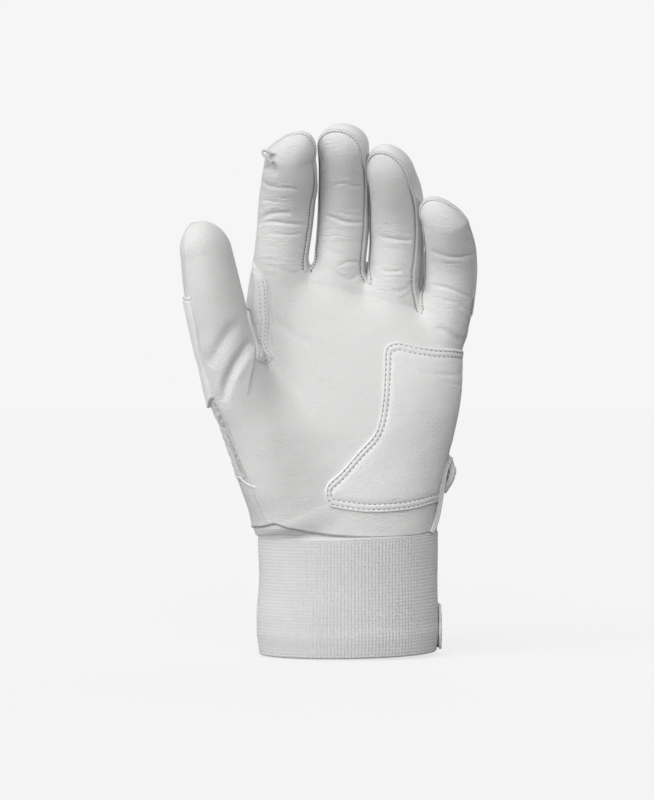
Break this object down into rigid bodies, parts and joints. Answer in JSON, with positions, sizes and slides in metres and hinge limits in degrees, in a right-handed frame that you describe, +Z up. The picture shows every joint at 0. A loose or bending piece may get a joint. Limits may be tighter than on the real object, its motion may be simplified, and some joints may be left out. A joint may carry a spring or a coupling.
{
  "type": "batting glove",
  "caption": "Left-hand leather batting glove in a relaxed hand shape, with flexing fingers and thumb, a heel patch and an elastic cuff closed by a hook-and-loop strap.",
  "frame": {"origin": "on the floor under the middle of the glove's box, standing on the rim of its cuff", "axes": "+Z up along the fingers, -Y the way the palm faces, +X towards the little finger, -X towards the thumb"},
  "size_m": [0.128, 0.0696, 0.2302],
  "materials": {
    "palm_leather": "smooth white full-grain sheepskin with fine grain, soft sheen and flex creases",
    "patch_leather": "second layer of the same white leather, double-stitched",
    "strap_leather": "coated white synthetic leather, faint grain",
    "back_textile": "matt white stretch textile with a fine perforated knit",
    "gusset_textile": "matt white stretch knit",
    "elastic_webbing": "woven elastic webbing with a fine square grid",
    "lining_knit": "soft grey-white knitted lining",
    "binding_tape": "folded white binding tape",
    "hook_and_loop": "white hook-and-loop fastener pile"
  },
  "bodies": {
    "glove_body": {"palm_panel": "palm_leather", "heel_patch": "patch_leather", "crotch_patch": "patch_leather", "back_panel": "back_textile", "thumb_base_back": "back_textile", "wrist_side_leather": "palm_leather", "side_binding": "binding_tape", "thumb_side_mesh": "back_textile", "thumb_side_strip": "palm_leather", "slit_front_binding": "binding_tape", "slit_back_binding": "binding_tape", "knuckle_pad": "strap_leather", "wrist_lining": "lining_knit", "cuff_band": "elastic_webbing", "cuff_top_hem": "elastic_webbing", "cuff_lower_hem": "elastic_webbing", "cuff_back_panel": "elastic_webbing", "loop_patch": "hook_and_loop", "strap_foot": "strap_leather"},
    "strap": {"strap_tab": "strap_leather", "strap_end_trim": "binding_tape", "hook_patch": "hook_and_loop"},
    "thumb_tip": {"thumb_front": "palm_leather", "thumb_back": "back_textile"},
    "index_finger": {"index_front": "palm_leather", "index_back": "back_textile", "index_right_gusset": "gusset_textile"},
    "middle_finger": {"middle_front": "palm_leather", "middle_back": "back_textile", "middle_left_gusset": "gusset_textile", "middle_right_gusset": "gusset_textile"},
    "ring_finger": {"ring_front": "palm_leather", "ring_back": "back_textile", "ring_left_gusset": "gusset_textile", "ring_right_gusset": "gusset_textile"},
    "little_finger": {"little_front": "palm_leather", "little_back": "back_textile", "little_left_gusset": "gusset_textile"}
  },
  "joints": [
    {"name": "index_flex", "type": "hinge", "parent": "glove_body", "child": "index_finger", "pos_m": [-0.02305, -0.00352, 0.16865], "axis": [0.9783, -0.1375, -0.1549], "range_deg": [0, 35]},
    {"name": "middle_flex", "type": "hinge", "parent": "glove_body", "child": "middle_finger", "pos_m": [0.00231, -0.00168, 0.16768], "axis": [0.9675, -0.2163, -0.1308], "range_deg": [0, 35]},
    {"name": "ring_flex", "type": "hinge", "parent": "glove_body", "child": "ring_finger", "pos_m": [0.0253, -0.00241, 0.16071], "axis": [0.9562, -0.2473, -0.1566], "range_deg": [0, 35]},
    {"name": "little_flex", "type": "hinge", "parent": "glove_body", "child": "little_finger", "pos_m": [0.04826, -0.00343, 0.14866], "axis": [0.9339, -0.3216, -0.1563], "range_deg": [0, 35]},
    {"name": "thumb_flex", "type": "hinge", "parent": "glove_body", "child": "thumb_tip", "pos_m": [-0.03997, -0.02211, 0.14636], "axis": [0.7136, 0.5988, 0.3636], "range_deg": [0, 20]},
    {"name": "strap_open", "type": "hinge", "parent": "glove_body", "child": "strap", "pos_m": [-0.01867, 0.02937, 0.024], "axis": [0, 0, 1], "range_deg": [0, 110]}
  ]
}
